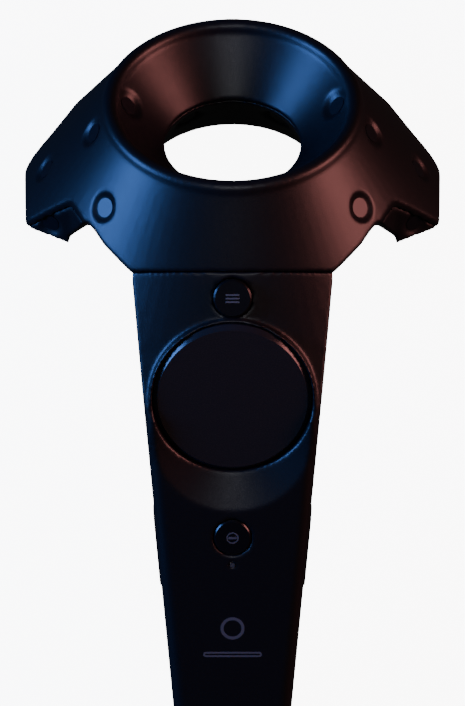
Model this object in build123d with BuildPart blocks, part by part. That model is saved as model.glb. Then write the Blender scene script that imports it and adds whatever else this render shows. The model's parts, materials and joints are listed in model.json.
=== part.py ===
from build123d import *
from math import cos, radians, sin
import os

# A hand-held motion controller lying face up: a tapered handle with a round thumb pad,
# and a sensor ring with a funnel-shaped hole at its head end.
# +Z is up, +Y points from the butt to the head, +X is to the right. Millimetres.

os.makedirs("parts", exist_ok=True)

# ---- driving dimensions ---------------------------------------------------------------
throat_y = 77.1            # narrowest circle of the ring's hole, from the middle of the length
throat_z = 41.4            # and above the surface that the controller lies on
ring_lean = 45.5           # ring axis from vertical, towards the head
grip_lean = -20.0          # normal of the handle's face from vertical, towards the butt
pad_lean = -24.0           # normal of the thumb pad
menu_lean = -7.7           # normal of the face round the menu button

rim_radius = 34.3          # centre line of the rolled rim
rim_bead = 2.3             # radius of the rolled rim's section
rim_height = 13.9          # rim above the throat, along the ring axis
throat_radius = 19.05
liner_wall = 1.6
skirt_spread = 0.70        # outward travel of the skirt for each mm down the ring axis
skirt_wall = 1.8           # upper head shell
lower_wall = 2.4           # lower head shell
ring_floor = -21.5         # underside of the ring below the throat
flare_radius = 27.0        # radius of the hole at the underside
flare_shift = 5.0          # and how far it lies off the axis there, away from the handle
shell_gap = 0.08           # gap between shells that meet

grip_wall = 2.2
parting_depth = -12.0      # the handle's shells meet this far under its face
seam_back = 36.9           # seam between head and handle, behind the throat
butt_joint = -120.0        # where the butt cap starts, along the handle from the pad's centre

pad_radius = 21.95
pad_depth = 1.8            # pad's face under the handle's face, at its centre
pad_thickness = 3.2
pad_travel = 0.6
well_gap = 0.3
well_floor = 5.2
plunger_foot = 6.8

cap_radius = 5.25
cap_gap = 0.15
cap_travel = 0.5
cap_height = 3.0
flange_height = 0.8

dimple_mouth = 4.6
dimple_floor = 3.0
dimple_depth = 1.1
board_side = 5.0           # sensor boards
board_sheet = 0.8


# ---- planes ---------------------------------------------------------------------------
def leaning_plane(origin, lean):
    """Plane through origin whose normal leans from vertical towards +Y by lean degrees."""
    return Plane(
        origin=origin,
        x_dir=(1, 0, 0),
        z_dir=(0, sin(radians(lean)), cos(radians(lean))),
    )


def side_of(plane):
    """The plane's own Y and Z as sketch axes, with the sketch facing +X."""
    return Plane(origin=plane.origin, x_dir=plane.y_dir, z_dir=plane.x_dir)


ring = leaning_plane((0, throat_y, throat_z), ring_lean)
grip = leaning_plane((0, throat_y - 72.5, throat_z + 24.8), grip_lean)
pad = leaning_plane(grip.from_local_coords((0, 0, -pad_depth)), pad_lean)
menu = leaning_plane((0, throat_y - 44.1, throat_z + 32.55), menu_lean)
system = leaning_plane(grip.from_local_coords((0, -40.7, 0)), grip_lean)
ring_side = side_of(ring)
grip_side = side_of(grip)
ring_axis = Axis(ring.origin, ring.z_dir)
seam = Plane(origin=(0, throat_y - seam_back, 0), x_dir=(1, 0, 0), z_dir=(0, -1, 0))


# ---- shared shapes --------------------------------------------------------------------
# one side of the neck seen from above, as (across, behind the throat)
neck_plan = [
    (27.9, -60), (27.9, -36.9), (31.1, -33.8), (35.7, -29), (38.4, -25), (40.6, -22.6),
    (46.0, -26.2), (46.0, -60),
]


def neck_waste(grow):
    """What the neck leaves out on each side, widened by grow into the neck."""
    with BuildPart() as body:
        with BuildSketch(Plane.XY):
            for hand in (-1, 1):
                outline = [(hand * x, throat_y + y) for x, y in neck_plan]
                with BuildSketch(mode=Mode.PRIVATE) as side:
                    Polygon(*outline, align=None)
                    if grow:
                        offset(amount=grow, kind=Kind.INTERSECTION, mode=Mode.REPLACE)
                add(side.sketch)
        extrude(amount=throat_z + 60)
    return body.part


def turned(points):
    """Closed profile of (radius, height) points, turned once about the ring's axis."""
    with BuildPart() as body:
        with BuildSketch(ring_side):
            with BuildLine():
                Polyline(*points, close=True)
            make_face()
        revolve(axis=ring_axis)
    return body.part


def under_skirt(inset):
    """Everything below the ring's conical skirt, lowered by inset along its normal."""
    depth = 200
    shift = inset / cos(radians(35))
    top_radius = rim_radius + rim_bead - shift
    bottom_radius = top_radius + skirt_spread * (rim_height + depth)
    return turned([(0, -depth), (bottom_radius, -depth), (top_radius, rim_height), (0, rim_height)])


# corners of the ring's outline seen along its axis, as (across, towards the far side, radius)
outline_corners = [
    (27.9, -66, 0.5),
    (27.9, -44.9, 2.5),
    (36.5, -36.5, 8),
    (41.2, -27.5, 8),
    (45.2, -19.2, 3.5),
    (58.6, -11.8, 3.0),
    (59.8, 15.5, 8),
    (47.0, 20.5, 12),
    (43.6, 39.0, 9),
    (0, 41.0, 60),
]


def ring_prism(inset):
    """The ring's lobed outline, shrunk by inset, as a tall prism along the ring's axis."""
    left = [(-x, y, r) for x, y, r in reversed(outline_corners) if x > 0]
    corners = outline_corners + left
    with BuildPart() as body:
        with BuildSketch(ring.offset(ring_floor + inset)):
            with BuildLine():
                FilletPolyline(
                    *[(x, y) for x, y, r in corners],
                    radius=[r for x, y, r in corners],
                    close=True,
                )
            make_face()
            if inset:
                offset(amount=-inset, kind=Kind.INTERSECTION, mode=Mode.REPLACE)
        extrude(amount=60)
    return body.part


# handle's outline seen square to its face, for one side, as (across, along)
grip_plan = [(14.6, -120), (24.8, 0), (28.2, 37), (28.2, 57)]
# and seen from the side, as (along, above the face)
grip_profile = [
    (-120, 0), (16, 0), (57, -8.6), (57, -24), (47, -29), (37, -31), (0, -30), (-120, -26.8)
]
face_round = 3.4           # along the edges of the handle's face
back_round = 5.0           # and along the edges of its back


def grip_block(inset):
    """The handle as a solid, shrunk by inset, running on into the head."""
    plan = [(x - inset, y) for x, y in grip_plan]
    plan += [(-x, y) for x, y in reversed(plan)]
    with BuildPart() as body:
        with BuildSketch(grip.offset(-45)):
            Polygon(*plan, align=None)
        extrude(amount=50)
        with BuildSketch(grip_side):
            Polygon(*grip_profile, align=None)
            if inset:
                offset(amount=-inset, kind=Kind.INTERSECTION, mode=Mode.REPLACE)
        extrude(amount=40, both=True, mode=Mode.INTERSECT)
        if inset == 0:
            fillet(running_edges(body).filter_by(on_grip_roof), face_round)
            fillet(running_edges(body).filter_by(on_grip_back), back_round)
    return body.part


def running_edges(body):
    """Edges that run along the handle, not across it."""
    return body.edges().filter_by(lambda edge: abs(edge.tangent_at(0.5).X) < 0.2)


def grip_height(point):
    """Height of a point above the handle's face, and its place along the handle."""
    local = grip.to_local_coords(point)
    return local.Z, local.Y


def on_grip_roof(edge):
    """Whether an edge runs along the side of the handle's face."""
    height, along = grip_height(edge @ 0.5)
    roof = -max(0, (along - 16) * 8.6 / 41)
    return abs(height - roof) < 1.5 and abs((edge @ 0.5).X) > 8


def on_grip_back(edge):
    """Whether an edge runs along the side of the handle's back."""
    height, along = grip_height(edge @ 0.5)
    return height < -20 and abs((edge @ 0.5).X) > 8 and along < 36.8


def save(builder, label):
    """Label a finished piece and write it under its node's name."""
    builder.part.label = label
    export_step(builder.part, f"parts/{label}.step")


# ---- sensor places --------------------------------------------------------------------
def ring_point(turn, radius, height):
    """Point at an angle from the ring's far side, a radius and a height along its axis."""
    across = radius * sin(radians(turn))
    away = radius * cos(radians(turn))
    return ring.from_local_coords((across, away, height))


def ring_direction(turn, outward, along):
    """Direction made of an outward part at an angle and a part along the ring's axis."""
    end = ring_point(turn, outward, along)
    return end - ring.origin


def skirt_height(radius):
    return rim_height - (radius - rim_radius - rim_bead) / skirt_spread


def funnel_radius(height):
    spread = rim_radius - rim_bead - throat_radius
    return throat_radius + spread * height / rim_height


def flare_reach(turn, height):
    """Distance from the ring's axis to the hole's lower wall, at an angle and a height."""
    share = (height + 1.2) / (ring_floor + 1.2)
    radius = throat_radius + (flare_radius - throat_radius) * share
    return radius + flare_shift * share * cos(radians(turn))


# angle from the far side and radius of the dimples on the skirt, for one side
skirt_dimples = [(98, 39.9), (89, 53.4), (128, 45.5), (47, 45.5)]
# angle of the dimples round the funnel and round the hole's lower wall, for one side
funnel_turns = [81, 146]
flare_turns = [32, 120]
floor_dimples = [(88, 46)]
# dimples on the ring's side walls, as (across, away, height) and the outward (across, away)
wall_dimples = [((51.8, -15.56, -16.6), (0.484, -0.875)), ((13.0, 40.40, -3.0), (0.046, 0.999))]


def facing(point, direction, across=None):
    """Plane through point that faces direction."""
    return Plane(origin=point, x_dir=across, z_dir=direction)


skirt_planes = []
funnel_planes = []
lower_planes = []
for hand in (-1, 1):
    for turn, radius in skirt_dimples:
        point = ring_point(hand * turn, radius, skirt_height(radius))
        skirt_planes.append(facing(point, ring_direction(hand * turn, 0.819, 0.574)))
    for turn in funnel_turns:
        point = ring_point(hand * turn, funnel_radius(10.6), 10.6)
        funnel_planes.append(facing(point, ring_direction(hand * turn, -0.732, 0.681)))
    for turn in flare_turns:
        point = ring_point(hand * turn, flare_reach(turn, -9.0), -9.0)
        lower_planes.append(facing(point, ring_direction(hand * turn, -0.92, -0.39)))
    for turn, radius in floor_dimples:
        point = ring_point(hand * turn, radius, ring_floor)
        lower_planes.append(facing(point, ring_direction(0, 0, -1)))
    for (across, away, height), (outward, onward) in wall_dimples:
        wall_point = ring.from_local_coords((hand * across, away, height))
        wall_out = ring.from_local_coords((hand * outward, onward, 0)) - ring.origin
        lower_planes.append(facing(wall_point, wall_out, ring.z_dir))


def sunk_dimple(plane):
    """A flat-floored conical recess cut into the surface at plane."""
    slope = (dimple_mouth - dimple_floor) / dimple_depth
    mouth = dimple_mouth + slope
    upright = (Align.CENTER, Align.CENTER, Align.MIN)
    cone = Cone(dimple_floor, mouth, 2 * dimple_depth, align=upright, mode=Mode.PRIVATE)
    return plane * Pos(0, 0, -dimple_depth) * cone


def board_under(plane, depth):
    """A sensor's square circuit board, parallel to the surface and depth under it."""
    board = Box(board_side, board_side, board_sheet, mode=Mode.PRIVATE)
    return plane * Pos(0, 0, -depth - board_sheet / 2) * board


# ---- head -----------------------------------------------------------------------------
rim_clearance = 0.08
flare_wall = 2.0
slot_half = 9.2            # trigger slot
slot_back = 10.5
slot_front = 38.6
pivot_along = 34.0         # trigger pin, along the handle and under its face
pivot_height = -23.5
lug_thickness = 2.4
pin_radius = 1.5
pin_half = 11.0

grip_proud = grip_block(-0.9)
outline_block = ring_prism(0)
outline_core = ring_prism(lower_wall)
skirt_outer = under_skirt(0)
skirt_inner = under_skirt(skirt_wall)
skirt_rest = under_skirt(skirt_wall + shell_gap)
hole_core = turned(
    [
        (0, rim_height + 20),
        (rim_radius + rim_bead + 0.4, rim_height + 20),
        (rim_radius, rim_height - 1.0),
        (throat_radius + liner_wall + 1.2, -1.2),
        (throat_radius, -1.2),
        (0, -1.2),
    ]
)


def flare(wall):
    """The hole's lower part, widened by wall: it spreads down from the throat, off its axis."""
    with BuildPart() as body:
        with BuildSketch(ring.offset(-1.2)):
            Circle(throat_radius + wall)
        with BuildSketch(ring.offset(ring_floor - 0.01)):
            with Locations((0, flare_shift)):
                Circle(flare_radius + wall)
        loft()
    return body.part


flare_hole = flare(0)
flare_body = flare(flare_wall)
below_parting = Plane(origin=grip.from_local_coords((0, 0, parting_depth)), z_dir=grip.z_dir)
butt_plane = Plane(origin=grip.from_local_coords((0, butt_joint, 0)), z_dir=grip.y_dir)

grip_blank = grip_block(0)
grip_core = grip_block(grip_wall)
with BuildPart() as grip_shape:
    add(grip_blank)
    add(skirt_outer, mode=Mode.INTERSECT)
with BuildPart() as grip_hollow:
    add(grip_core)
    add(under_skirt(grip_wall), mode=Mode.INTERSECT)
grip_outer = grip_shape.part
grip_inner = grip_hollow.part
neck_cut = neck_waste(0)
neck_core_cut = neck_waste(lower_wall)
boss_limit = grip_block(0.4)

with BuildPart() as head_core:
    add(outline_core)
    add(neck_core_cut, mode=Mode.SUBTRACT)
    split(bisect_by=Plane.XY.offset(lower_wall), keep=Keep.TOP)

with BuildPart() as head_upper_shell:
    add(skirt_outer)
    add(outline_block, mode=Mode.INTERSECT)
    add(neck_cut, mode=Mode.SUBTRACT)
    add(skirt_inner, mode=Mode.SUBTRACT)
    split(bisect_by=seam, keep=Keep.BOTTOM)
    with BuildSketch(ring_side):
        with Locations((rim_radius, rim_height)):
            Circle(rim_bead + rim_clearance)
    revolve(axis=ring_axis, mode=Mode.SUBTRACT)
    for plane in skirt_planes:
        add(sunk_dimple(plane), mode=Mode.SUBTRACT)
save(head_upper_shell, "head_upper_shell")

with BuildPart() as funnel_liner:
    with BuildSketch(ring_side):
        with Locations((rim_radius, rim_height)):
            Circle(rim_bead)
        with BuildLine():
            Polyline(
                (rim_radius - rim_bead, rim_height),
                (throat_radius, 0),
                (throat_radius, -1.1),
                (throat_radius + liner_wall, -1.1),
                (rim_radius - 0.4, rim_height - 1.8),
                (rim_radius, rim_height),
                close=True,
            )
        make_face()
    revolve(axis=ring_axis)
    for plane in funnel_planes:
        add(sunk_dimple(plane), mode=Mode.SUBTRACT)
save(funnel_liner, "funnel_liner")

with BuildPart() as skirt_block:
    add(outline_block)
    add(skirt_rest, mode=Mode.INTERSECT)
    add(neck_cut, mode=Mode.SUBTRACT)
    split(bisect_by=Plane.XY, keep=Keep.TOP)

with BuildPart() as neck_block:
    add(grip_outer)
    split(bisect_by=seam, keep=Keep.BOTTOM)
    add(skirt_rest, mode=Mode.INTERSECT)

with BuildPart() as head_lower_shell:
    add(skirt_block.part)
    add(neck_block.part)
    add(head_core.part, mode=Mode.SUBTRACT)
    add(grip_inner, mode=Mode.SUBTRACT)
    add(hole_core, mode=Mode.SUBTRACT)
    split(bisect_by=seam, keep=Keep.BOTTOM)
    add(flare_body)
    add(flare_hole, mode=Mode.SUBTRACT)
    with BuildSketch(grip_side):
        with Locations((pivot_along - 1.0, pivot_height - 2.2)):
            Rectangle(7.6, 10.4)
    extrude(amount=slot_half + lug_thickness, both=True)
    with BuildSketch(grip.offset(-40)):
        with Locations((0, (slot_back + slot_front) / 2)):
            Rectangle(2 * slot_half, slot_front - slot_back)
    extrude(amount=24, mode=Mode.SUBTRACT)
    with BuildSketch(grip_side):
        with Locations((pivot_along, pivot_height)):
            Circle(pin_radius + 0.02)
    extrude(amount=pin_half + 0.1, both=True, mode=Mode.SUBTRACT)
    for plane in lower_planes:
        add(sunk_dimple(plane), mode=Mode.SUBTRACT)
save(head_lower_shell, "head_lower_shell")


def boards(planes, depth, label):
    """Sensor boards behind a set of dimples, as one group."""
    with BuildPart() as group:
        for plane in planes:
            add(board_under(plane, depth))
    save(group, label)


boards(skirt_planes, skirt_wall + 0.25, "skirt_sensor_boards")
boards(funnel_planes, 2 * liner_wall, "funnel_sensor_boards")
boards(lower_planes, lower_wall + 0.3, "lower_sensor_boards")

with BuildPart() as ring_flex_board:
    with BuildSketch(ring.offset(-16.4)):
        Circle(36.5)
        with Locations((0, 4.0)):
            Circle(28.6, mode=Mode.SUBTRACT)
        with Locations((0, -30)):
            Rectangle(90, 60, mode=Mode.SUBTRACT)
    extrude(amount=0.4)
save(ring_flex_board, "ring_flex_board")

# screws that hold the upper head shell, in posts of their own
post_radius = 2.2
screw_places = [(36.5, 22), (-36.5, 22), (48.5, 10), (-48.5, 10)]
with BuildPart() as head_screw_posts:
    with BuildSketch(ring.offset(ring_floor + lower_wall)):
        with Locations(*screw_places):
            Circle(post_radius)
            Circle(1.1, mode=Mode.SUBTRACT)
    extrude(amount=4.5)
save(head_screw_posts, "head_screw_posts")
with BuildPart() as head_screws:
    with BuildSketch(ring.offset(ring_floor + lower_wall + 4.6)):
        with Locations(*screw_places):
            Circle(1.9)
    extrude(amount=1.2)
    with BuildSketch(ring.offset(ring_floor + lower_wall + 0.6)):
        with Locations(*screw_places):
            Circle(1.0)
    extrude(amount=4.1)
save(head_screws, "head_screws")

# ---- handle shells --------------------------------------------------------------------
recess_round = 22.55       # scoop's outline on the face
recess_back = -10.45
scoop_foot = 8.0
scoop_depth = 5.4
boss_floor = -10.6
led_along = -49.0

usb_width, usb_height, usb_depth = 7.6, 2.8, -11.0
butt_sketch = Plane(origin=butt_plane.origin, x_dir=(1, 0, 0), z_dir=-grip.y_dir)
with BuildPart() as usb_mouth:
    with BuildSketch(butt_sketch.offset(-8)):
        with Locations((0, usb_depth)):
            RectangleRounded(usb_width + 0.6, usb_height + 0.6, 1.0)
    extrude(amount=18)

with BuildPart() as pad_well:
    with BuildSketch(pad.offset(-well_floor)):
        Circle(pad_radius + well_gap)
    extrude(amount=well_floor + 9)
    with BuildSketch(grip.offset(0.4)):
        with Locations((0, recess_back)):
            Circle(recess_round + 0.9)
    with BuildSketch(grip.offset(-scoop_depth)):
        with Locations((0, recess_back)):
            Circle(scoop_foot)
    loft()

with BuildPart() as pad_boss:
    with BuildSketch(grip.offset(boss_floor)):
        Circle(pad_radius + 1.1)
        with Locations((0, recess_back)):
            Circle(recess_round + 1.0)
    extrude(amount=-boss_floor - 0.8)
    add(boss_limit, mode=Mode.INTERSECT)

screw_posts = [(13.0, -70), (-13.0, -70), (0, -108)]
with BuildPart() as handle_face_shell:
    add(grip_outer)
    add(grip_inner, mode=Mode.SUBTRACT)
    split(bisect_by=seam, keep=Keep.TOP)
    split(bisect_by=below_parting, keep=Keep.TOP)
    add(pad_boss.part)
    with BuildSketch(grip.offset(-12.9)):
        with Locations(*screw_posts):
            Circle(2.3)
    extrude(amount=11.5)
    with BuildSketch(grip.offset(-12.9)):
        with Locations(*screw_posts):
            Circle(1.02)
    extrude(amount=6, mode=Mode.SUBTRACT)
    add(pad_well.part, mode=Mode.SUBTRACT)
    with BuildSketch(grip.offset(-20)):
        Circle(5.0)
    extrude(amount=20, mode=Mode.SUBTRACT)
    for face in (menu, system):
        with BuildSketch(face.offset(-cap_height)):
            Circle(cap_radius + cap_gap)
        extrude(amount=6, mode=Mode.SUBTRACT)
        with BuildSketch(face.offset(-cap_height)):
            Circle(cap_radius + 0.7)
        extrude(amount=-2.5, mode=Mode.SUBTRACT)
    with BuildSketch(grip.offset(-3.0)):
        with Locations((0, led_along)):
            Circle(0.75)
    extrude(amount=5, mode=Mode.SUBTRACT)
    add(usb_mouth.part, mode=Mode.SUBTRACT)
save(handle_face_shell, "handle_face_shell")

grip_button_along = -50.0
grip_button_height = -17.5
chassis_posts = [(9.5, -112), (-9.5, -112), (15.5, -20), (-15.5, -20)]
with BuildPart() as chassis_supports:
    with BuildSketch(grip.offset(-31)):
        with Locations(*chassis_posts):
            Circle(2.4)
    extrude(amount=16.3)
    add(boss_limit, mode=Mode.INTERSECT)

with BuildPart() as handle_rear_shell:
    add(grip_outer)
    add(grip_inner, mode=Mode.SUBTRACT)
    split(bisect_by=seam, keep=Keep.TOP)
    split(bisect_by=below_parting.offset(-shell_gap), keep=Keep.BOTTOM)
    split(bisect_by=Plane.XY, keep=Keep.TOP)
    add(chassis_supports.part)
    with BuildSketch(grip.offset(-22)):
        with Locations(*chassis_posts):
            Circle(1.02)
    extrude(amount=8, mode=Mode.SUBTRACT)
    with BuildSketch(grip_side):
        with Locations((grip_button_along, grip_button_height)):
            SlotOverall(24.5, 8.5)
    extrude(amount=40, both=True, mode=Mode.SUBTRACT)
    with BuildSketch(grip.offset(-40)):
        with Locations((0, (slot_back + slot_front) / 2)):
            Rectangle(2 * slot_half, slot_front - slot_back)
    extrude(amount=24, mode=Mode.SUBTRACT)
    add(usb_mouth.part, mode=Mode.SUBTRACT)
save(handle_rear_shell, "handle_rear_shell")

bar_radius = 1.2           # where a cord goes round it, and at its ends inside the cap
bar_end_radius = 1.6
bar_open = 5.0
bar_half = 9.0
bar_plane = Plane(
    origin=grip.from_local_coords((0, -124.2, -23.4)), x_dir=grip.y_dir, z_dir=(1, 0, 0)
)
with BuildPart() as butt_cap:
    with BuildSketch(butt_sketch.offset(shell_gap)):
        with Locations((0, (grip_profile[-1][1]) / 2)):
            RectangleRounded(29.0, 26.6, 6)
    extrude(amount=6.4)
    fillet(butt_cap.faces().sort_by(Axis(grip.origin, grip.y_dir))[0].edges(), 3.0)
    split(bisect_by=Plane.XY, keep=Keep.TOP)
    add(usb_mouth.part, mode=Mode.SUBTRACT)
    with BuildSketch(bar_plane):
        Circle(bar_end_radius + 0.02)
    extrude(amount=bar_half + 0.02, both=True, mode=Mode.SUBTRACT)
    with BuildSketch(bar_plane):
        with Locations((-2.0, -1.5)):
            Rectangle(10.6, 11.0)
    extrude(amount=bar_open, both=True, mode=Mode.SUBTRACT)
save(butt_cap, "butt_cap")


# ---- controls -------------------------------------------------------------------------
with BuildPart() as trackpad_disc:
    with BuildSketch(pad.offset(-pad_thickness)):
        Circle(pad_radius)
    extrude(amount=pad_thickness)
    chamfer(trackpad_disc.faces().sort_by(Axis(pad.origin, pad.z_dir))[-1].edges(), 1.2)
    with BuildSketch(pad.offset(-pad_thickness)):
        Circle(pad_radius - 2.0)
    extrude(amount=pad_thickness - 1.6, mode=Mode.SUBTRACT)
    with BuildSketch(pad.offset(-plunger_foot)):
        Circle(2.2)
    extrude(amount=plunger_foot - 1.5)
save(trackpad_disc, "trackpad_disc")

with BuildPart() as trackpad_board:
    with BuildSketch(pad.offset(-2.7)):
        Circle(pad_radius - 2.2)
        Circle(2.3, mode=Mode.SUBTRACT)
    extrude(amount=1.0)
save(trackpad_board, "trackpad_board")


def pressed_switch(face, top, travel, label):
    """A dome switch whose top waits one travel under the button's foot."""
    with BuildPart() as switch:
        with BuildSketch(face.offset(-top - travel - 0.05)):
            Circle(1.6)
        extrude(amount=-0.6)
        with BuildSketch(face.offset(-top - travel - 0.65)):
            Rectangle(6.2, 6.2)
        extrude(amount=-1.6)
    save(switch, label)


def button_board(face, length, shift, top, label):
    """The small circuit board that carries a button's switch."""
    with BuildPart() as board:
        with BuildSketch(face.offset(-top)):
            with Locations((0, shift)):
                Rectangle(15, length)
        extrude(amount=-1.0)
    save(board, label)


def round_cap(face, crown, label):
    """A round button with a retaining flange under the shell and a crowned top."""
    with BuildPart() as cap:
        with BuildSketch(face.offset(-cap_height)):
            Circle(cap_radius)
        extrude(amount=cap_height + crown)
        chamfer(cap.faces().sort_by(Axis(face.origin, face.z_dir))[-1].edges(), 0.45)
        with BuildSketch(face.offset(-cap_height - flange_height)):
            Circle(cap_radius + 0.5)
        extrude(amount=flange_height)
    save(cap, label)


board_top = cap_height + flange_height + cap_travel + 0.05 + 0.6 + 1.6 + 0.02
round_cap(menu, 0.75, "menu_button")
round_cap(system, 0.05, "system_button")
for face, shift, length, name in ((menu, 1.2, 10, "menu"), (system, -4, 18, "system")):
    pressed_switch(face, cap_height + flange_height, cap_travel, f"{name}_switch")
    button_board(face, length, shift, board_top, f"{name}_board")
pressed_switch(pad, plunger_foot, pad_travel, "trackpad_switch")

with BuildPart() as status_led_lens:
    with BuildSketch(grip.offset(-4.4)):
        with Locations((0, led_along)):
            Circle(1.3)
    extrude(amount=1.4)
    with BuildSketch(grip.offset(-3.0)):
        with Locations((0, led_along)):
            Circle(0.7)
    extrude(amount=3.02)
save(status_led_lens, "status_led_lens")
with BuildPart() as status_led:
    with BuildSketch(grip.offset(-board_top + 0.02)):
        with Locations((0, led_along)):
            Rectangle(2.0, 1.6)
    extrude(amount=0.7)
save(status_led, "status_led")

for hand, name in ((-1, "left"), (1, "right")):
    outward = Plane(origin=grip.origin, x_dir=hand * grip.y_dir, z_dir=(hand, 0, 0))
    with BuildPart() as grip_button:
        with BuildSketch(outward.offset(14.6)):
            with Locations((hand * grip_button_along, grip_button_height)):
                SlotOverall(24.1, 8.1)
        extrude(amount=20)
        add(grip_proud, mode=Mode.INTERSECT)
        with BuildSketch(outward.offset(14.0)):
            with Locations((hand * grip_button_along, grip_button_height)):
                SlotOverall(25.3, 9.3)
        extrude(amount=1.4)
    save(grip_button, f"grip_button_{name}")
    with BuildPart() as grip_switch:
        with BuildSketch(outward.offset(13.3)):
            with Locations((hand * grip_button_along, grip_button_height)):
                Circle(1.4)
        extrude(amount=-0.5)
        with BuildSketch(outward.offset(12.8)):
            with Locations((hand * grip_button_along, grip_button_height)):
                Rectangle(6.0, 4.4)
        extrude(amount=-1.2)
    save(grip_switch, f"grip_switch_{name}")
    with BuildPart() as grip_board:
        with BuildSketch(outward.offset(11.58)):
            with Locations((hand * grip_button_along, grip_button_height - 0.5)):
                Rectangle(14, 6.6)
        extrude(amount=-0.8)
    save(grip_board, f"grip_board_{name}")

trigger_half = 8.5
with BuildPart() as trigger:
    with BuildSketch(grip_side):
        with Locations((pivot_along, pivot_height)):
            Circle(3.4)
        with BuildLine():
            finger_face = ThreePointArc((37.2, -26.0), (26.5, -36.4), (10.2, -44.8))
            tip = ThreePointArc((10.2, -44.8), (8.6, -43.2), (9.4, -41.4))
            back_face = ThreePointArc((9.4, -41.4), (17.5, -35.2), (22.5, -27.5))
            Polyline((22.5, -27.5), (31.0, -21.6), (37.2, -26.0))
        make_face()
    extrude(amount=trigger_half, both=True)
    with BuildSketch(grip_side):
        with Locations((pivot_along, pivot_height)):
            Circle(pin_radius + 0.05)
    extrude(amount=20, both=True, mode=Mode.SUBTRACT)
    with BuildSketch(grip_side):
        with Locations((pivot_along, pivot_height)):
            Rectangle(11, 9)
    extrude(amount=3, both=True, mode=Mode.SUBTRACT)
save(trigger, "trigger")

with BuildPart() as trigger_pin:
    with BuildSketch(grip_side):
        with Locations((pivot_along, pivot_height)):
            Circle(pin_radius)
    extrude(amount=pin_half, both=True)
save(trigger_pin, "trigger_pin")

spring_wire, spring_turns, spring_radius = 0.35, 4, 2.4
spring_start = grip.from_local_coords((-spring_turns / 2, pivot_along, pivot_height))
with BuildPart() as trigger_spring:
    with BuildLine() as coil:
        Helix(1.0, spring_turns, spring_radius, center=spring_start, direction=(1, 0, 0))
    with BuildSketch(Plane(origin=coil.line @ 0, z_dir=coil.line % 0)):
        Circle(spring_wire)
    sweep(is_frenet=True)
save(trigger_spring, "trigger_spring")

# ---- inside the handle ----------------------------------------------------------------
def slab(label, places, width, length, bottom, height):
    """Rectangular blocks of one kind, parallel to the handle's face."""
    with BuildPart() as block:
        with BuildSketch(grip.offset(bottom)):
            with Locations(*places):
                Rectangle(width, length)
        extrude(amount=height)
    save(block, label)


chassis_top, chassis_sheet = -13.2, 1.4
with BuildPart() as chassis:
    with BuildSketch(grip.offset(chassis_top - chassis_sheet)):
        Polygon((-11.5, -116), (11.5, -116), (19.0, 8), (-19.0, 8), align=None)
        with Locations(*chassis_posts, *screw_posts):
            Circle(1.2, mode=Mode.SUBTRACT)
        with Locations((0, grip_button_along)):
            Rectangle(40, 27, mode=Mode.SUBTRACT)
            Rectangle(22, 27)
    extrude(amount=chassis_sheet)
save(chassis, "chassis")

slab("main_board", [(0, -34)], 19, 70, -13.1, 1.2)
slab("radio_shield", [(0, -62)], 13, 12, -11.88, 1.5)
slab("processor", [(0, -18)], 8, 8, -11.88, 0.5)
slab("battery_cell", [(0, -72)], 19, 52, -24.6, 8.6)
slab("battery_plug", [(0, -42.5)], 8, 5, -21.5, 4.0)
slab("haptic_motor", [(0, -24)], 12, 24, -22.0, 6.4)
slab("haptic_bracket", [(0, -24)], 16, 27, -15.5, 0.8)
slab("trigger_sensor_board", [(0, 14)], 12, 7, -16.5, 1.0)
slab("antenna", [(0, 33)], 22, 5, -13.0, 0.8)

with BuildPart() as usb_socket:
    with BuildSketch(butt_sketch.offset(-0.4)):
        with Locations((0, usb_depth)):
            RectangleRounded(usb_width, usb_height, 0.9)
            RectangleRounded(usb_width - 0.8, usb_height - 0.8, 0.6, mode=Mode.SUBTRACT)
    extrude(amount=5.4)
save(usb_socket, "usb_socket")

with BuildPart() as lanyard_bar:
    with BuildSketch(bar_plane):
        Circle(bar_end_radius)
    extrude(amount=bar_half, both=True)
    with BuildSketch(bar_plane):
        Circle(bar_end_radius + 1)
        Circle(bar_radius, mode=Mode.SUBTRACT)
    extrude(amount=bar_open, both=True, mode=Mode.SUBTRACT)
save(lanyard_bar, "lanyard_bar")


def screws(label, places, head, direction, shank):
    """Small screws with a round head at a height and a shank running one way."""
    with BuildPart() as group:
        with BuildSketch(grip.offset(head)):
            with Locations(*places):
                Circle(1.9)
        extrude(amount=-direction * 1.1)
        with BuildSketch(grip.offset(head)):
            with Locations(*places):
                Circle(1.0)
        extrude(amount=direction * shank)
    save(group, label)


screws("chassis_screws", chassis_posts, chassis_top + 0.02, -1, 7.0)
screws("face_screws", screw_posts, chassis_top - chassis_sheet - 0.02, 1, 6.5)
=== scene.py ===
# %% [markdown]
# # A hand-held motion controller, finished in Blender
# The solid parts come from the CAD model. They are exact but bare: every edge is knife
# sharp and nothing has a surface. This lesson loads them, rounds the moulded shells the
# way an injection mould would, prints the small marks, gives every piece the finish of
# its real material, and lights the result on a table.

# %% Load the fixed frame
import json
import math

import bmesh
import bpy
from mathutils import Matrix, Vector
from mathutils.bvhtree import BVHTree


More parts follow.
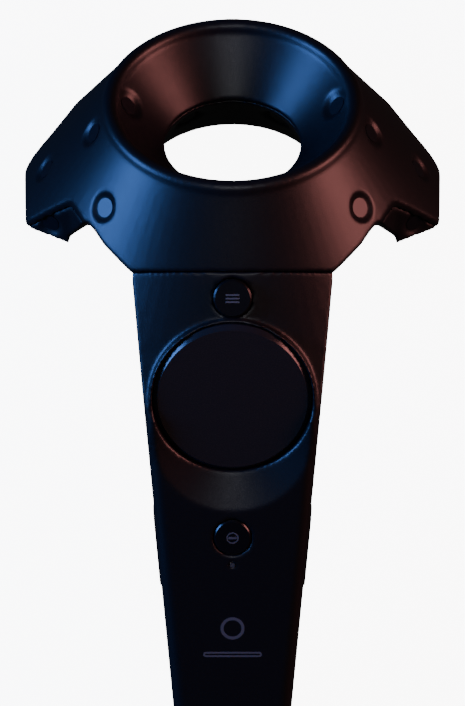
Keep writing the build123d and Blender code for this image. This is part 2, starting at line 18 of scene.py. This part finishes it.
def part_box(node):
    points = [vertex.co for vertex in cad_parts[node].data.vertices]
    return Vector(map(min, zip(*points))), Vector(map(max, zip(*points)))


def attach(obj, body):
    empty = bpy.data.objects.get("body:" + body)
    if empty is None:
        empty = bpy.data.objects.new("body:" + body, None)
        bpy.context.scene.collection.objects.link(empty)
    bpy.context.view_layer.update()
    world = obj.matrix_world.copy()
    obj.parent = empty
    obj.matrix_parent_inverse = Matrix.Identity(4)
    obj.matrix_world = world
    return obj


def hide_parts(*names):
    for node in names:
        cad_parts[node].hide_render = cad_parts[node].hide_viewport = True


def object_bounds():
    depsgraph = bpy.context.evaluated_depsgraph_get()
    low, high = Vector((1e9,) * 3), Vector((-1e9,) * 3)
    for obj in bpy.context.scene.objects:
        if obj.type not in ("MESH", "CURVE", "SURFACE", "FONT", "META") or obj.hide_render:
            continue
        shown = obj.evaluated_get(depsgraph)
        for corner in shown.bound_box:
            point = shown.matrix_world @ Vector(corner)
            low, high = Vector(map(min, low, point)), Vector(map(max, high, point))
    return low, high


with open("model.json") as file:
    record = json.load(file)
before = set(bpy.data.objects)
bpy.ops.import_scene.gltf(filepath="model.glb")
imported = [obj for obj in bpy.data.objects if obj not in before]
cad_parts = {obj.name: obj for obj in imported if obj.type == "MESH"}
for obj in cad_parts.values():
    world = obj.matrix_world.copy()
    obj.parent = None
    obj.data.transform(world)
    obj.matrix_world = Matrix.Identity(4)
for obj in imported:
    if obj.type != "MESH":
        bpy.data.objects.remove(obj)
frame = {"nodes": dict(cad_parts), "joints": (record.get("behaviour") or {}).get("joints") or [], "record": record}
cad_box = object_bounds()
nodes = frame["nodes"]
joints = {joint["name"]: joint for joint in frame["joints"]}
print("CAD nodes:", len(nodes), "joints:", len(joints))

MM = 0.001
WELD = 0.001 * MM  # points nearer than this are one point
record = frame["record"]
slot_of = {part["node"]: part["material_slot"] for part in record["subparts"]}
body_of = {
    node: body
    for body, members in record["behaviour"]["bodies"].items()
    for node in members
}

# %% [markdown]
# ## One helper for nodes, one for colours
# A material is a small graph. Adding a node, setting its options and joining its inputs
# takes four or five lines each time, so one helper does all of it. Colours are written
# as the hex values a paint maker would quote. Those are sRGB, and Blender's sockets want
# linear light, so one function converts them.

# %% Helpers for colours and nodes
def linear(hex_colour):
    """A hex sRGB colour as linear red, green, blue and alpha."""
    channels = [int(hex_colour[i:i + 2], 16) / 255 for i in (1, 3, 5)]
    curve = [
        c / 12.92 if c <= 0.04045 else ((c + 0.055) / 1.055) ** 2.4
        for c in channels
    ]
    return (*curve, 1.0)


def add_node(tree, kind, inputs=None, **settings):
    """A new node with its settings; an input is a value, or a socket to join to it."""
    made = tree.nodes.new(kind)
    for key, value in settings.items():
        setattr(made, key, value)
    for key, value in (inputs or {}).items():
        if isinstance(value, bpy.types.NodeSocket):
            tree.links.new(value, made.inputs[key])
        else:
            made.inputs[key].default_value = value
    return made


def new_material(name):
    """An empty material, its node tree and its surface output."""
    material = bpy.data.materials.new(name)
    material.use_nodes = True
    tree = material.node_tree
    tree.nodes.clear()
    return material, tree, add_node(tree, "ShaderNodeOutputMaterial")


# %% [markdown]
# ## A finish with a real grain
# Almost every surface here is one material with a fine texture: mould grain on plastic,
# rolling marks on steel, weave under a board's lacquer. Each is the same recipe with its
# own numbers: a noise at the grain's real width shifts the colour and the roughness a
# little, and lifts the surface by a few hundredths of a millimetre. A picture of a
# texture would need the piece unwrapped, and noise in the piece's own space doesn't.

# %% The grained finish
GRAIN_DETAIL = 3.0        # octaves of noise
GRAIN_SHARPNESS = 0.6     # how strong the finer octaves are
GRAIN_BUMP = 0.6          # share of the stated relief that the shading shows
GLOSS_LOW, GLOSS_HIGH = 0.88, 1.12    # how far the grain shifts the roughness


def grained(
    name, dark, light, roughness, grain, relief, metallic=0.0, ior=1.5, stretch=None
):
    """A material whose noise has the grain's width and relief, in millimetres."""
    material, tree, output = new_material(name)
    place = add_node(tree, "ShaderNodeTexCoord").outputs["Object"]
    if stretch:
        mapping = add_node(tree, "ShaderNodeMapping", {"Vector": place, "Scale": stretch})
        place = mapping.outputs["Vector"]
    noise = add_node(
        tree, "ShaderNodeTexNoise",
        {"Vector": place, "Scale": 1 / (grain * MM), "Detail": GRAIN_DETAIL,
         "Roughness": GRAIN_SHARPNESS},
    ).outputs["Fac"]
    # an RGBA mix keeps its factor at input 0, its colours at 6 and 7, its result at 2
    colour = add_node(
        tree, "ShaderNodeMix", {0: noise, 6: linear(dark), 7: linear(light)},
        data_type="RGBA",
    ).outputs[2]
    rough = add_node(
        tree, "ShaderNodeMapRange",
        {"Value": noise, "To Min": roughness * GLOSS_LOW,
         "To Max": min(1.0, roughness * GLOSS_HIGH)},
    ).outputs["Result"]
    bump = add_node(
        tree, "ShaderNodeBump",
        {"Height": noise, "Distance": relief * MM, "Strength": GRAIN_BUMP},
    ).outputs["Normal"]
    shader = add_node(
        tree, "ShaderNodeBsdfPrincipled",
        {"Base Color": colour, "Roughness": rough, "Normal": bump,
         "Metallic": metallic, "IOR": ior},
    )
    tree.links.new(shader.outputs["BSDF"], output.inputs["Surface"])
    return material


# %% [markdown]
# ## The plastics
# The shells are black ABS with polycarbonate, moulded in a spark-eroded tool. That
# leaves a grain about a tenth of a millimetre wide, which spreads a highlight into a
# soft sheen. That is too fine to show, so it is drawn three times as wide. The funnel
# comes from a smoother tool, and the buttons from a nearly polished one. In each line
# the numbers are the roughness, the grain's width and its relief.

# %% Plastic finishes
shell_plastic = grained(
    "moulded black ABS, fine spark grain", "#0e0f12", "#15161a", 0.38, 0.30, 0.05)
funnel_plastic = grained(
    "moulded black ABS, satin tool", "#0e0f12", "#131418", 0.36, 0.35, 0.015)
button_plastic = grained(
    "moulded black ABS, polished tool", "#0e0f12", "#121317", 0.24, 0.50, 0.006)
inner_plastic = grained(
    "moulded grey nylon", "#1e1f22", "#2a2b2f", 0.55, 0.40, 0.02)
board_green = grained(
    "solder mask on glass fibre", "#0c3a22", "#11492b", 0.30, 0.50, 0.01)
copper_flex = grained(
    "polyimide film on copper", "#9a5a1c", "#b26c26", 0.35, 0.80, 0.01)
battery_wrap = grained(
    "shrink film on a pouch cell", "#24406e", "#2c4b7e", 0.30, 2.0, 0.05)
chip_black = grained(
    "moulded epoxy chip case", "#101012", "#17171a", 0.50, 0.20, 0.01)
window_plastic = grained(
    "infra-red filter acrylic, satin", "#121318", "#17181e", 0.30, 1.0, 0.002, ior=1.49)
white_ink = grained(
    "pad-printed grey ink", "#54565c", "#5e6067", 0.50, 0.15, 0.002)

# %% [markdown]
# ## The metals
# Screws, shields, springs and the charging socket are steel, and the screw inserts are
# brass. Rolled and turned metal has marks that run one way, so its noise is stretched
# along X. A metal has no grey base: its colour is its reflection. The fourth number is
# the metallic share.

# %% Metal finishes
along_x = (0.12, 1.0, 1.0)
steel = grained(
    "turned steel, zinc plated", "#9a9ca0", "#b0b2b6", 0.28, 0.15, 0.004, 1.0,
    stretch=along_x)
shield_steel = grained(
    "tinned steel sheet", "#b4b5b8", "#c4c5c8", 0.32, 0.40, 0.006, 1.0,
    stretch=along_x)
motor_steel = grained(
    "drawn steel can", "#808288", "#94969c", 0.35, 0.30, 0.006, 1.0,
    stretch=along_x)
brass_insert = grained(
    "turned brass", "#c9a256", "#d8b468", 0.30, 0.20, 0.006, 1.0,
    stretch=along_x)
switch_metal = grained(
    "pressed stainless dome", "#8e9092", "#a2a4a6", 0.30, 0.30, 0.004, 1.0,
    stretch=along_x)

# %% [markdown]
# ## The light window
# The status light shines through a small plug of clear acrylic. With the light off it
# looks dark, because the case behind it is black, but its polished end still glints.

# %% Clear acrylic and the light itself
def clear_acrylic():
    """Polished acrylic with a trace of haze."""
    material, tree, output = new_material("clear acrylic, polished")
    place = add_node(tree, "ShaderNodeTexCoord").outputs["Object"]
    haze = add_node(
        tree, "ShaderNodeTexNoise", {"Vector": place, "Scale": 1 / (0.8 * MM)},
    ).outputs["Fac"]
    rough = add_node(
        tree, "ShaderNodeMapRange", {"Value": haze, "To Min": 0.04, "To Max": 0.10})
    shader = add_node(
        tree, "ShaderNodeBsdfPrincipled",
        {"Base Color": linear("#d8dcdc"), "Roughness": rough.outputs["Result"],
         "IOR": 1.49, "Transmission Weight": 0.9},
    )
    tree.links.new(shader.outputs["BSDF"], output.inputs["Surface"])
    return material


clear_lens = clear_acrylic()
white_led = grained(
    "white silicone on a diode", "#d8d8c8", "#e2e2d4", 0.35, 0.30, 0.005)

# %% [markdown]
# ## The thumb pad
# The pad's top is a matt, slightly brown-black sheet with fine pale specks, and its
# chamfer is glossier. The chamfer is also given a lighter grey, a painted highlight
# for the light it catches. Two materials would need the faces sorted, so one material
# does both: the distance from the pad's own axis says where the chamfer is. The pad
# leans, so a Mapping node first brings the coordinates to the pad's centre and lays
# them flat. Its frame comes from the joint that the pad moves on and from the pad's own box.

# %% A frame on top of a pressed piece
def outward_of(joint_name):
    """The direction in which a pressed piece faces, opposite to its travel."""
    return -Vector(joints[joint_name]["axis"]).normalized()


def top_frame(node, outward, thickness=0.05 * MM):
    """A matrix at the centre of a node's top face: Z outwards, Y towards the ring."""
    points = [v.co for v in nodes[node].data.vertices]
    height = max(p.dot(outward) for p in points)
    rim = [p for p in points if p.dot(outward) > height - thickness]
    low = Vector(map(min, *rim))
    high = Vector(map(max, *rim))
    across = Vector((1, 0, 0))
    axes = Matrix((across, outward.cross(across), outward)).transposed()
    return Matrix.Translation((low + high) / 2) @ axes.to_4x4()


pad_frame = top_frame("trackpad_disc", outward_of("trackpad_press"))
menu_frame = top_frame("menu_button", outward_of("menu_press"))
system_frame = top_frame("system_button", outward_of("system_press"))
pad_low, pad_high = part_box("trackpad_disc")
pad_radius = (pad_high.x - pad_low.x) / 2
print("pad centre, mm:", [round(c / MM, 2) for c in pad_frame.translation])
print("pad radius, mm:", round(pad_radius / MM, 2))

# %% The pad's finish
pad_chamfer = 1.2 * MM
speck_size = 0.35 * MM
speck_relief = 0.02 * MM
matt_film, chamfer_roughness = 0.62, 0.22    # roughness inside the chamfer, and on it


def pad_finish():
    """Speckled matt plastic inside the chamfer; on it, glossier with a painted highlight."""
    material, tree, output = new_material("matt black pad film, glossy chamfer with painted highlight")
    place = add_node(tree, "ShaderNodeTexCoord").outputs["Object"]
    flat = pad_frame.inverted()
    local = add_node(
        tree, "ShaderNodeMapping",
        {"Vector": place, "Location": flat.translation, "Rotation": flat.to_euler()},
    ).outputs["Vector"]
    parts = add_node(tree, "ShaderNodeSeparateXYZ", {"Vector": local})
    plan = add_node(
        tree, "ShaderNodeCombineXYZ", {"X": parts.outputs["X"], "Y": parts.outputs["Y"]})
    radius = add_node(
        tree, "ShaderNodeVectorMath", {0: plan.outputs["Vector"]}, operation="LENGTH")
    edge = add_node(
        tree, "ShaderNodeMapRange",
        {"Value": radius.outputs["Value"],
         "From Min": pad_radius - 1.05 * pad_chamfer,
         "From Max": pad_radius - 0.95 * pad_chamfer},
    ).outputs["Result"]
    specks = add_node(
        tree, "ShaderNodeTexNoise",
        {"Vector": local, "Scale": 1 / speck_size, "Detail": 4.0},
    ).outputs["Fac"]
    speck_colour = add_node(tree, "ShaderNodeValToRGB", {"Fac": specks})
    ramp = speck_colour.color_ramp
    ramp.elements[0].position, ramp.elements[0].color = 0.45, linear("#141110")
    ramp.elements[1].position, ramp.elements[1].color = 0.75, linear("#2b2522")
    # on the chamfer the grey #25262b is a painted highlight, lighter than the pad's own film
    colour = add_node(
        tree, "ShaderNodeMix",
        {0: edge, 6: speck_colour.outputs["Color"], 7: linear("#25262b")},
        data_type="RGBA",
    ).outputs[2]
    rough = add_node(
        tree, "ShaderNodeMapRange",
        {"Value": edge, "To Min": matt_film, "To Max": chamfer_roughness})
    bump = add_node(
        tree, "ShaderNodeBump",
        {"Height": specks, "Distance": speck_relief, "Strength": 0.5})
    shader = add_node(
        tree, "ShaderNodeBsdfPrincipled",
        {"Base Color": colour, "Roughness": rough.outputs["Result"],
         "Normal": bump.outputs["Normal"], "IOR": 1.5},
    )
    tree.links.new(shader.outputs["BSDF"], output.inputs["Surface"])
    return material


pad_plastic = pad_finish()

# %% [markdown]
# ## Every CAD piece gets its finish
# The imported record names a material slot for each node. A table from slot to finish is
# all it takes to dress the whole assembly, hidden boards and screws as well.

# %% Dress the CAD nodes
finish_of = {
    "shell_plastic": shell_plastic, "funnel_plastic": funnel_plastic,
    "button_plastic": button_plastic, "pad_plastic": pad_plastic,
    "inner_plastic": inner_plastic, "board_green": board_green,
    "copper_flex": copper_flex, "battery_wrap": battery_wrap, "chip_black": chip_black,
    "clear_lens": clear_lens, "white_led": white_led, "steel": steel,
    "shield_steel": shield_steel, "motor_steel": motor_steel,
    "brass_insert": brass_insert, "switch_metal": switch_metal,
}
for name, node in nodes.items():
    node.data.materials.clear()
    node.data.materials.append(finish_of[slot_of[name]])
print("finishes:", len(finish_of), "on", len(nodes), "nodes")

# %% [markdown]
# ## Moulded shells with soft edges
# An injection mould has a radius on every edge, and the head's surfaces flow into each
# other in soft S-curves. Bevelling the CAD mesh would have to cope with long thin
# triangles. It is easier to rebuild each shell from small even cells with a voxel
# Remesh, relax the cells with Smooth, which rounds an edge by about a millimetre, and
# then let Decimate take out the cells that flat places don't need. The mating faces
# draw back a little too, and that leaves the thin groove seen at the seams.

# %% Soften a shell
def softened(members, name, cell, rounds, keep):
    """A soft-edged copy of CAD shells that show no joint, from cells sized in mm."""
    work = bmesh.new()
    for member in members:
        work.from_mesh(nodes[member].data)
    bmesh.ops.remove_doubles(work, verts=work.verts, dist=WELD)
    mesh = bpy.data.meshes.new(name)
    work.to_mesh(mesh)
    work.free()
    piece = bpy.data.objects.new(name, mesh)
    bpy.context.scene.collection.objects.link(piece)
    remesh = piece.modifiers.new("even cells", "REMESH")
    remesh.mode = "VOXEL"
    remesh.voxel_size = cell * MM
    smooth = piece.modifiers.new("relax", "SMOOTH")
    smooth.factor = 0.5
    smooth.iterations = rounds
    thin = piece.modifiers.new("fewer cells", "DECIMATE")
    thin.ratio = keep
    bpy.context.view_layer.update()
    evaluated = piece.evaluated_get(bpy.context.evaluated_depsgraph_get())
    finished = bpy.data.meshes.new_from_object(evaluated)
    piece.modifiers.clear()
    piece.data = finished
    finished.materials.clear()
    finished.materials.append(finish_of[slot_of[members[0]]])
    finished.shade_smooth()
    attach(piece, body_of[members[0]])
    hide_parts(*members)
    print(name, "faces:", len(finished.polygons))


# %% [markdown]
# The ring's top and its funnel are two mouldings, but they are bonded and sanded at the
# rim, so no joint shows there. One Remesh over both copies closes the hairline gap, and
# the pair takes the finish of the first. Each row gives the cell in millimetres, the
# rounds of Smooth and the share of the faces that Decimate keeps. Small pieces have
# smaller cells, and long flat ones need fewer faces.

# %% Soften them all
for members, name, cell, rounds, keep in (
    (["head_upper_shell", "funnel_liner"], "soft_ring_top", 0.55, 6, 0.40),
    (["head_lower_shell"], "soft_head_lower_shell", 0.60, 5, 0.45),
    (["handle_face_shell"], "soft_handle_face_shell", 0.55, 3, 0.45),
    (["handle_rear_shell"], "soft_handle_rear_shell", 0.65, 4, 0.45),
    (["butt_cap"], "soft_butt_cap", 0.45, 3, 0.60),
    (["trigger"], "soft_trigger", 0.45, 4, 0.60),
):
    softened(members, name, cell, rounds, keep)

# %% [markdown]
# ## Filter windows in the dimples
# Each dimple has a flat floor, and behind it sits a light sensor. The floor is covered
# by a small round window of satin black acrylic that only infra-red passes through.
# There are about two dozen of them, all alike, so Geometry Nodes places them: one point
# for each dimple, with the direction it faces as an attribute, and one disc copied onto
# all the points. The places come from the CAD itself. Each sensor board is a thin square
# box, and a ray from its middle along its thin direction comes out at the dimple's floor.

# %% Where the dimples are
def loose_parts(node):
    """The point groups of a CAD node that is made of separate solids."""
    work = bmesh.new()
    work.from_mesh(nodes[node].data)
    bmesh.ops.remove_doubles(work, verts=work.verts, dist=WELD)
    waiting = set(work.verts)
    groups = []
    while waiting:
        group, edge = set(), [waiting.pop()]
        while edge:
            vert = edge.pop()
            group.add(vert)
            near = {e.other_vert(vert) for e in vert.link_edges} - group
            waiting -= near
            edge.extend(near)
        groups.append([v.co.copy() for v in group])
    work.free()
    return groups


def thin_direction(points):
    """The direction of a flat box's shortest side, from one corner's neighbours."""
    corner = points[0]
    sides = sorted((p - corner for p in points[1:]), key=lambda side: side.length)
    return sides[0].normalized()


def surface_of(node):
    """A CAD node's surface, ready to be hit by rays."""
    mesh = nodes[node].data
    faces = [tuple(f.vertices) for f in mesh.polygons]
    return BVHTree.FromPolygons([v.co for v in mesh.vertices], faces)


sensor_reach = 6 * MM     # a floor further from its board than this isn't a dimple's
step_past = 0.05 * MM     # how far beyond the inner wall the second ray starts


def dimple_floors(boards, shell):
    """(place, direction) of the dimple floor in front of each board of a node."""
    surface = surface_of(shell)
    floors = []
    for points in loose_parts(boards):
        middle = sum(points, Vector()) / len(points)
        thin = thin_direction(points)
        best = None
        for direction in (thin, -thin):
            inner, _, _, wall_gap = surface.ray_cast(middle, direction)
            if inner is None:
                continue
            outer, _, _, wall = surface.ray_cast(inner + direction * step_past, direction)
            if outer is not None and (best is None or wall + wall_gap < best[2]):
                best = (outer, direction, wall + wall_gap)
        if best and best[2] < sensor_reach:
            floors.append(best[:2])
    return floors


floors = []
for boards, shell in (
    ("skirt_sensor_boards", "head_upper_shell"),
    ("funnel_sensor_boards", "funnel_liner"),
    ("lower_sensor_boards", "head_lower_shell"),
):
    found = dimple_floors(boards, shell)
    floors += found
    print(shell, "dimples:", len(found))

# %% The window tree
window_radius = 2.7 * MM
window_thickness = 0.3 * MM
window_lift = 0.12 * MM   # from the floor to the window's middle


def window_tree():
    """Geometry Nodes: a disc on every point, turned to the point's direction."""
    tree = bpy.data.node_groups.new("filter windows", "GeometryNodeTree")
    face = tree.interface
    face.new_socket("Geometry", in_out="INPUT", socket_type="NodeSocketGeometry")
    for label, value in (("Radius", window_radius), ("Thickness", window_thickness)):
        socket = face.new_socket(label, in_out="INPUT", socket_type="NodeSocketFloat")
        socket.default_value = value
    face.new_socket("Material", in_out="INPUT", socket_type="NodeSocketMaterial")
    face.new_socket("Geometry", in_out="OUTPUT", socket_type="NodeSocketGeometry")
    given = add_node(tree, "NodeGroupInput").outputs
    disc = add_node(
        tree, "GeometryNodeMeshCylinder",
        {"Vertices": 40, "Radius": given["Radius"], "Depth": given["Thickness"]},
    ).outputs["Mesh"]
    towards = add_node(
        tree, "GeometryNodeInputNamedAttribute", {"Name": "facing"},
        data_type="FLOAT_VECTOR",
    ).outputs["Attribute"]
    turn = add_node(
        tree, "FunctionNodeAlignRotationToVector", {"Vector": towards}, axis="Z")
    placed = add_node(
        tree, "GeometryNodeInstanceOnPoints",
        {"Points": given["Geometry"], "Instance": disc, "Rotation": turn.outputs[0]})
    real = add_node(
        tree, "GeometryNodeRealizeInstances", {"Geometry": placed.outputs["Instances"]})
    dressed = add_node(
        tree, "GeometryNodeSetMaterial",
        {"Geometry": real.outputs["Geometry"], "Material": given["Material"]})
    add_node(tree, "NodeGroupOutput", {"Geometry": dressed.outputs["Geometry"]})
    return tree


# %% Run a tree and keep its mesh
def grown(name, mesh, tree, inputs):
    """The plain mesh that a Geometry Nodes tree makes from a start mesh."""
    piece = bpy.data.objects.new(name, mesh)
    bpy.context.scene.collection.objects.link(piece)
    modifier = piece.modifiers.new(tree.name, "NODES")
    modifier.node_group = tree
    identifiers = {
        item.name: item.identifier
        for item in tree.interface.items_tree
        if item.item_type == "SOCKET" and item.in_out == "INPUT"
    }
    for label, value in inputs.items():
        modifier[identifiers[label]] = value
    bpy.context.view_layer.update()
    evaluated = piece.evaluated_get(bpy.context.evaluated_depsgraph_get())
    finished = bpy.data.meshes.new_from_object(evaluated)
    piece.modifiers.clear()
    piece.data = finished
    print(name, "faces:", len(finished.polygons))
    return piece


def points_mesh(name, places, facing):
    """Loose points that carry the direction each one faces."""
    mesh = bpy.data.meshes.new(name)
    mesh.from_pydata([tuple(p) for p in places], [], [])
    attribute = mesh.attributes.new("facing", "FLOAT_VECTOR", "POINT")
    for item, direction in zip(attribute.data, facing):
        item.vector = direction
    return mesh


# %% Set the windows
start = points_mesh(
    "dimple floors",
    [place + direction * window_lift for place, direction in floors],
    [direction for place, direction in floors],
)
windows = grown(
    "sensor_windows", start, window_tree(),
    {"Radius": window_radius, "Thickness": window_thickness,
     "Material": window_plastic},
)
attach(windows, body_of["head_upper_shell"])

# %% [markdown]
# ## Printed marks
# The marks on the buttons and on the handle are pad-printed: a film of grey ink some
# hundredths of a millimetre thick. Flat outlines given that thickness are enough. The
# menu sign is three equal bars, which is again a shape that repeats, so its tree makes
# a row of boxes with a count and a spacing. The others are a plain ring and a pill, as
# neutral stand-ins for the maker's own signs.

# %% A row of bars
def bar_tree():
    """Geometry Nodes: a centred row of flat bars."""
    tree = bpy.data.node_groups.new("row of bars", "GeometryNodeTree")
    face = tree.interface
    face.new_socket("Geometry", in_out="INPUT", socket_type="NodeSocketGeometry")
    face.new_socket("Count", in_out="INPUT", socket_type="NodeSocketInt")
    for label in ("Spacing", "First"):
        face.new_socket(label, in_out="INPUT", socket_type="NodeSocketFloat")
    face.new_socket("Bar", in_out="INPUT", socket_type="NodeSocketVector")
    face.new_socket("Material", in_out="INPUT", socket_type="NodeSocketMaterial")
    face.new_socket("Geometry", in_out="OUTPUT", socket_type="NodeSocketGeometry")
    given = add_node(tree, "NodeGroupInput").outputs
    step = add_node(tree, "ShaderNodeCombineXYZ", {"Y": given["Spacing"]})
    first = add_node(tree, "ShaderNodeCombineXYZ", {"Y": given["First"]})
    row = add_node(
        tree, "GeometryNodeMeshLine",
        {"Count": given["Count"], "Start Location": first.outputs["Vector"],
         "Offset": step.outputs["Vector"]})
    bar = add_node(tree, "GeometryNodeMeshCube", {"Size": given["Bar"]})
    placed = add_node(
        tree, "GeometryNodeInstanceOnPoints",
        {"Points": row.outputs["Mesh"], "Instance": bar.outputs["Mesh"]})
    real = add_node(
        tree, "GeometryNodeRealizeInstances", {"Geometry": placed.outputs["Instances"]})
    dressed = add_node(
        tree, "GeometryNodeSetMaterial",
        {"Geometry": real.outputs["Geometry"], "Material": given["Material"]})
    add_node(tree, "NodeGroupOutput", {"Geometry": dressed.outputs["Geometry"]})
    return tree


ink = 0.06 * MM
bar_count = 3
bar_spacing = 0.98 * MM
bar_length = 3.8 * MM
bar_width = 0.45 * MM
menu_bars = grown(
    "menu_bars", bpy.data.meshes.new("menu bars start"), bar_tree(),
    {"Count": bar_count, "Spacing": bar_spacing, "First": -bar_spacing,
     "Bar": (bar_length, bar_width, ink), "Material": white_ink},
)
menu_bars.data.transform(menu_frame)
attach(menu_bars, body_of["menu_button"])

# %% Rings and pills
corners = 48


def flat_band(name, half_length, radius, width, place, body):
    """A printed closed band: a ring, or a pill when half_length isn't zero."""
    mesh = bpy.data.meshes.new(name)
    work = bmesh.new()
    loops = []
    for band_radius, height in (
        (radius, ink / 2), (radius - width, ink / 2),
        (radius - width, -ink / 2), (radius, -ink / 2),
    ):
        loop = []
        for step in range(corners):
            angle = 2 * math.pi * (step + 0.5) / corners
            shift = math.copysign(half_length, math.cos(angle))
            x = band_radius * math.cos(angle) + shift
            y = band_radius * math.sin(angle)
            loop.append(work.verts.new((x, y, height)))
        loops.append(loop)
    for one, other in zip(loops, loops[1:] + loops[:1]):
        for step in range(corners):
            after = (step + 1) % corners
            work.faces.new((one[step], one[after], other[after], other[step]))
    bmesh.ops.recalc_face_normals(work, faces=work.faces)
    work.to_mesh(mesh)
    work.free()
    mesh.transform(place)
    mesh.materials.append(white_ink)
    piece = bpy.data.objects.new(name, mesh)
    bpy.context.scene.collection.objects.link(piece)
    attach(piece, body)
    print(name, "faces:", len(mesh.polygons))


def down_the_handle(distance):
    """A place on the handle's face, this far from the system button to the butt."""
    face_below_button = 0.05 * MM
    return system_frame @ Matrix.Translation((0, -distance, -face_below_button))


for name, half_length, radius, width, place, printed_on in (
    ("system_ring", 0, 1.7 * MM, 0.35 * MM, system_frame, "system_button"),
    ("system_bar", 0.9 * MM, 0.32 * MM, 0.30 * MM, system_frame, "system_button"),
    ("emblem_ring", 0, 3.4 * MM, 0.9 * MM,
     down_the_handle(27.5 * MM), "handle_face_shell"),
    ("emblem_pill", 7.5 * MM, 0.8 * MM, 0.55 * MM,
     down_the_handle(35.5 * MM), "handle_face_shell"),
):
    flat_band(name, half_length, radius, width, place, body_of[printed_on])

# %% [markdown]
# ## Table and light
# The controller lies on a white table. The table is bright by itself, because lights
# strong enough to whiten it would grey the black plastic, and it is kept out of the
# controller's reflections. A black object shows its form only by what it mirrors, so
# two soft boxes stand low at the sides, a cool one on the left and a warm one on the
# right, and a weak grey one hangs high above the ring. Nothing shines from the butt's
# side, which leaves the handle's face almost black.

# %% The table
table_glow = 9.0


def table_finish():
    """A white laminate that is evenly bright."""
    material, tree, output = new_material("white laminate")
    shader = add_node(
        tree, "ShaderNodeBsdfPrincipled",
        {"Base Color": linear("#f2f2f2"), "Roughness": 0.6,
         "Emission Color": linear("#ffffff"), "Emission Strength": table_glow})
    tree.links.new(shader.outputs["BSDF"], output.inputs["Surface"])
    return material


floor_half = 3.0          # metres
table_gap = 0.1 * MM      # keeps the table's face and the resting faces apart
floor_mesh = bpy.data.meshes.new("table")
floor_mesh.from_pydata(
    [(-floor_half, -floor_half, 0), (floor_half, -floor_half, 0),
     (floor_half, floor_half, 0), (-floor_half, floor_half, 0)],
    [], [(0, 1, 2, 3)])
floor_mesh.materials.append(table_finish())
table_top = bpy.data.objects.new("table", floor_mesh)
table_top.location.z = cad_box[0].z - table_gap
bpy.context.scene.collection.objects.link(table_top)
table_top.visible_glossy = False
table_top.visible_diffuse = False

# %% The lights
centre = (cad_box[0] + cad_box[1]) / 2


def soft_light(name, place, size, power, hex_colour):
    """A square soft box at place, in metres, aimed at the controller's middle."""
    data = bpy.data.lights.new(name, "AREA")
    data.shape = "SQUARE"
    data.size = size
    data.energy = power
    data.color = linear(hex_colour)[:3]
    light = bpy.data.objects.new(name, data)
    light.location = place
    light.rotation_euler = (centre - light.location).to_track_quat("-Z", "Y").to_euler()
    bpy.context.scene.collection.objects.link(light)


to_the_side, towards_the_ring, up = 1.00, 0.20, 0.42
soft_light(
    "cool left", (-to_the_side, towards_the_ring, up),
    size=0.50, power=17.0, hex_colour="#5f98ff")
soft_light(
    "warm right", (to_the_side, towards_the_ring, up),
    size=0.50, power=8.0, hex_colour="#ff9d98")
soft_light(
    "grey above", (0.0, 0.30, 1.50), size=0.30, power=2.4, hex_colour="#f4f6ff")
fill_strength = 0.015
world = bpy.data.worlds.new("studio")
bpy.context.scene.world = world
world.use_nodes = True
background = world.node_tree.nodes["Background"]
background.inputs["Color"].default_value = linear("#ffffff")
background.inputs["Strength"].default_value = fill_strength

# %% [markdown]
# ## The camera
# The view is straight down with the ring at the top. A short lens close by would swell
# the ring, which stands nearest to it, so a long lens looks from a little over a metre.
# The frame ends before the butt does.

# %% The camera
eye_height = 1.2413
look_at_y = 18.0 * MM
lens_length = 217.2       # millimetres, as lenses are named
sensor_width = 36.0
camera_data = bpy.data.cameras.new("camera")
camera_data.lens = lens_length
camera_data.sensor_width = sensor_width
camera_data.sensor_fit = "AUTO"
camera = bpy.data.objects.new("camera", camera_data)
camera.location = (0, look_at_y, eye_height)
camera.rotation_euler = (0, 0, 0)
bpy.context.scene.collection.objects.link(camera)
bpy.context.scene.camera = camera
